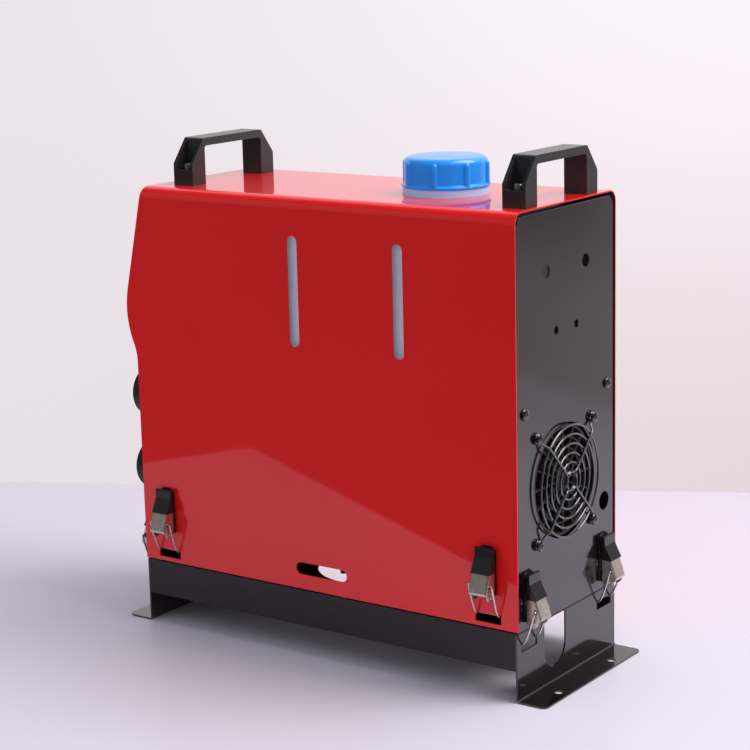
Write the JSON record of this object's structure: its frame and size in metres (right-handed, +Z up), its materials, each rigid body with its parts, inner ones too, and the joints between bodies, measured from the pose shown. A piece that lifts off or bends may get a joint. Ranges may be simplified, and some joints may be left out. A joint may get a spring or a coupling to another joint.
{
  "type": "portable diesel air heater",
  "caption": "Portable diesel air heater in a sheet-metal carrying case with fuel tank, toggle latches, handles, fan guard and warm-air outlets.",
  "frame": {"origin": "middle of the footprint on the floor", "axes": "+X towards the fresh-air end with the fan guard, -Y towards the side with the sight slots, +Z up"},
  "size_m": [0.415, 0.1804, 0.4095],
  "materials": {
    "red_paint": "gloss",
    "black_paint": "satin",
    "base_paint": "satin",
    "handle_plastic": "fine grain",
    "tank_plastic": "milky",
    "cap_plastic": "gloss",
    "guard_wire": "gloss",
    "screw_steel": "satin",
    "latch_steel": "satin nickel",
    "latch_wire": "bright",
    "latch_plate_steel": "satin",
    "unit_plastic": "moulded",
    "cast_aluminium": "as cast",
    "heat_steel": "plain",
    "plain_steel": "plain",
    "rubber": "matt",
    "louvre_plastic": "satin",
    "bezel_plastic": "gloss",
    "lens": "smoked",
    "button_plastic": "satin"
  },
  "bodies": {
    "case": {"air_manifold": "unit_plastic", "base_tray": "base_paint", "blower_motor": "cast_aluminium", "burner_tube": "heat_steel", "casing_lower": "unit_plastic", "casing_upper": "unit_plastic", "control_bezel": "bezel_plastic", "control_unit": "unit_plastic", "display_lens": "lens", "fan_guard": "guard_wire", "fuel_lines": "rubber", "fuel_pump": "plain_steel", "fuel_tank": "tank_plastic", "glow_plug": "heat_steel", "handle_intake_end": "handle_plastic", "handle_outlet_end": "handle_plastic", "handle_screws": "screw_steel", "heat_exchanger": "cast_aluminium", "heater_bracket": "plain_steel", "heater_studs": "plain_steel", "inlet_grille": "unit_plastic", "intake_end_panel": "black_paint", "intake_leg": "base_paint", "latch_plates": "latch_plate_steel", "latch_rivets": "screw_steel", "outlet_end_panel": "black_paint", "outlet_leg": "base_paint", "panel_screws": "screw_steel", "pump_clamp": "rubber", "shell": "red_paint", "tank_shelf": "plain_steel", "vent_collars": "louvre_plastic"},
    "cap_lift": {"cap_seal": "rubber"},
    "cap": {"fuel_cap": "cap_plastic"},
    "rotor": {"rotor_shaft": "plain_steel", "intake_fan": "unit_plastic", "combustion_impeller": "cast_aluminium"},
    "button_up": {"button_up": "button_plastic"},
    "button_power": {"button_power": "button_plastic"},
    "button_down": {"button_down": "button_plastic"},
    "louvre_upper_front": {"vent_louvre_upper_front": "louvre_plastic"},
    "louvre_upper_back": {"vent_louvre_upper_back": "louvre_plastic"},
    "louvre_lower_front": {"vent_louvre_lower_front": "louvre_plastic"},
    "louvre_lower_back": {"vent_louvre_lower_back": "louvre_plastic"},
    "lever_front_outlet": {"latch_lever_front_outlet": "latch_steel"},
    "bail_front_outlet": {"latch_bail_front_outlet": "latch_wire"},
    "lever_back_outlet": {"latch_lever_back_outlet": "latch_steel"},
    "bail_back_outlet": {"latch_bail_back_outlet": "latch_wire"},
    "lever_front_intake": {"latch_lever_front_intake": "latch_steel"},
    "bail_front_intake": {"latch_bail_front_intake": "latch_wire"},
    "lever_back_intake": {"latch_lever_back_intake": "latch_steel"},
    "bail_back_intake": {"latch_bail_back_intake": "latch_wire"},
    "lever_intake_front": {"latch_lever_intake_front": "latch_steel"},
    "bail_intake_front": {"latch_bail_intake_front": "latch_wire"},
    "lever_outlet_front": {"latch_lever_outlet_front": "latch_steel"},
    "bail_outlet_front": {"latch_bail_outlet_front": "latch_wire"},
    "lever_intake_back": {"latch_lever_intake_back": "latch_steel"},
    "bail_intake_back": {"latch_bail_intake_back": "latch_wire"},
    "lever_outlet_back": {"latch_lever_outlet_back": "latch_steel"},
    "bail_outlet_back": {"latch_bail_outlet_back": "latch_wire"}
  },
  "joints": [
    {"name": "cap_rise", "type": "slide", "parent": "case", "child": "cap_lift", "axis": [0, 0, 1], "range_m": [0, 0.0061]},
    {"name": "cap_turn", "type": "hinge", "parent": "cap_lift", "child": "cap", "pos_m": [0.0766, 0, 0.38], "axis": [0, 0, 1], "range_deg": [0, 540]},
    {"name": "rotor_spin", "type": "hinge", "parent": "case", "child": "rotor", "pos_m": [0.1, -0.003, 0.1575], "axis": [1, 0, 0], "continuous": true},
    {"name": "button_up_press", "type": "slide", "parent": "case", "child": "button_up", "axis": [0.9751, 0, -0.2215], "range_m": [0, 0.001], "stiffness_N_per_m": 400},
    {"name": "button_power_press", "type": "slide", "parent": "case", "child": "button_power", "axis": [0.9751, 0, -0.2215], "range_m": [0, 0.001], "stiffness_N_per_m": 400},
    {"name": "button_down_press", "type": "slide", "parent": "case", "child": "button_down", "axis": [0.9751, 0, -0.2215], "range_m": [0, 0.001], "stiffness_N_per_m": 400},
    {"name": "louvre_upper_front_turn", "type": "hinge", "parent": "case", "child": "louvre_upper_front", "pos_m": [-0.195, -0.042, 0.193], "axis": [-1, 0, 0], "continuous": true},
    {"name": "louvre_upper_back_turn", "type": "hinge", "parent": "case", "child": "louvre_upper_back", "pos_m": [-0.195, 0.042, 0.193], "axis": [-1, 0, 0], "continuous": true},
    {"name": "louvre_lower_front_turn", "type": "hinge", "parent": "case", "child": "louvre_lower_front", "pos_m": [-0.195, -0.042, 0.129], "axis": [-1, 0, 0], "continuous": true},
    {"name": "louvre_lower_back_turn", "type": "hinge", "parent": "case", "child": "louvre_lower_back", "pos_m": [-0.195, 0.042, 0.129], "axis": [-1, 0, 0], "continuous": true},
    {"name": "lever_front_outlet_swing", "type": "hinge", "parent": "case", "child": "lever_front_outlet", "pos_m": [-0.15775, -0.0825, 0.0835], "axis": [1, 0, 0], "range_deg": [0, 150]},
    {"name": "bail_front_outlet_swing", "type": "hinge", "parent": "lever_front_outlet", "child": "bail_front_outlet", "pos_m": [-0.15775, -0.086, 0.0925], "axis": [1, 0, 0], "range_deg": [-196, 0]},
    {"name": "lever_back_outlet_swing", "type": "hinge", "parent": "case", "child": "lever_back_outlet", "pos_m": [-0.15775, 0.0825, 0.0835], "axis": [-1, 0, 0], "range_deg": [0, 150]},
    {"name": "bail_back_outlet_swing", "type": "hinge", "parent": "lever_back_outlet", "child": "bail_back_outlet", "pos_m": [-0.15775, 0.086, 0.0925], "axis": [-1, 0, 0], "range_deg": [-196, 0]},
    {"name": "lever_front_intake_swing", "type": "hinge", "parent": "case", "child": "lever_front_intake", "pos_m": [0.15775, -0.0825, 0.0835], "axis": [1, 0, 0], "range_deg": [0, 150]},
    {"name": "bail_front_intake_swing", "type": "hinge", "parent": "lever_front_intake", "child": "bail_front_intake", "pos_m": [0.15775, -0.086, 0.0925], "axis": [1, 0, 0], "range_deg": [-196, 0]},
    {"name": "lever_back_intake_swing", "type": "hinge", "parent": "case", "child": "lever_back_intake", "pos_m": [0.15775, 0.0825, 0.0835], "axis": [-1, 0, 0], "range_deg": [0, 150]},
    {"name": "bail_back_intake_swing", "type": "hinge", "parent": "lever_back_intake", "child": "bail_back_intake", "pos_m": [0.15775, 0.086, 0.0925], "axis": [-1, 0, 0], "range_deg": [-196, 0]},
    {"name": "lever_intake_front_swing", "type": "hinge", "parent": "case", "child": "lever_intake_front", "pos_m": [0.1905, -0.0576, 0.0626], "axis": [0, 1, 0], "range_deg": [0, 150]},
    {"name": "bail_intake_front_swing", "type": "hinge", "parent": "lever_intake_front", "child": "bail_intake_front", "pos_m": [0.194, -0.0576, 0.0716], "axis": [0, 1, 0], "range_deg": [-196, 0]},
    {"name": "lever_outlet_front_swing", "type": "hinge", "parent": "case", "child": "lever_outlet_front", "pos_m": [-0.1905, -0.0576, 0.0626], "axis": [0, -1, 0], "range_deg": [0, 150]},
    {"name": "bail_outlet_front_swing", "type": "hinge", "parent": "lever_outlet_front", "child": "bail_outlet_front", "pos_m": [-0.194, -0.0576, 0.0716], "axis": [0, -1, 0], "range_deg": [-196, 0]},
    {"name": "lever_intake_back_swing", "type": "hinge", "parent": "case", "child": "lever_intake_back", "pos_m": [0.1905, 0.0576, 0.0626], "axis": [0, 1, 0], "range_deg": [0, 150]},
    {"name": "bail_intake_back_swing", "type": "hinge", "parent": "lever_intake_back", "child": "bail_intake_back", "pos_m": [0.194, 0.0576, 0.0716], "axis": [0, 1, 0], "range_deg": [-196, 0]},
    {"name": "lever_outlet_back_swing", "type": "hinge", "parent": "case", "child": "lever_outlet_back", "pos_m": [-0.1905, 0.0576, 0.0626], "axis": [0, -1, 0], "range_deg": [0, 150]},
    {"name": "bail_outlet_back_swing", "type": "hinge", "parent": "lever_outlet_back", "child": "bail_outlet_back", "pos_m": [-0.194, 0.0576, 0.0716], "axis": [0, -1, 0], "range_deg": [-196, 0]}
  ],
  "couplings": [
    {"joint": "cap_rise", "follows": "cap_turn", "m_per_rad": 0.00063662},
    {"joint": "bail_front_outlet_swing", "follows": "lever_front_outlet_swing", "ratio": -1.3},
    {"joint": "bail_back_outlet_swing", "follows": "lever_back_outlet_swing", "ratio": -1.3},
    {"joint": "bail_front_intake_swing", "follows": "lever_front_intake_swing", "ratio": -1.3},
    {"joint": "bail_back_intake_swing", "follows": "lever_back_intake_swing", "ratio": -1.3},
    {"joint": "bail_intake_front_swing", "follows": "lever_intake_front_swing", "ratio": -1.3},
    {"joint": "bail_outlet_front_swing", "follows": "lever_outlet_front_swing", "ratio": -1.3},
    {"joint": "bail_intake_back_swing", "follows": "lever_intake_back_swing", "ratio": -1.3},
    {"joint": "bail_outlet_back_swing", "follows": "lever_outlet_back_swing", "ratio": -1.3}
  ]
}
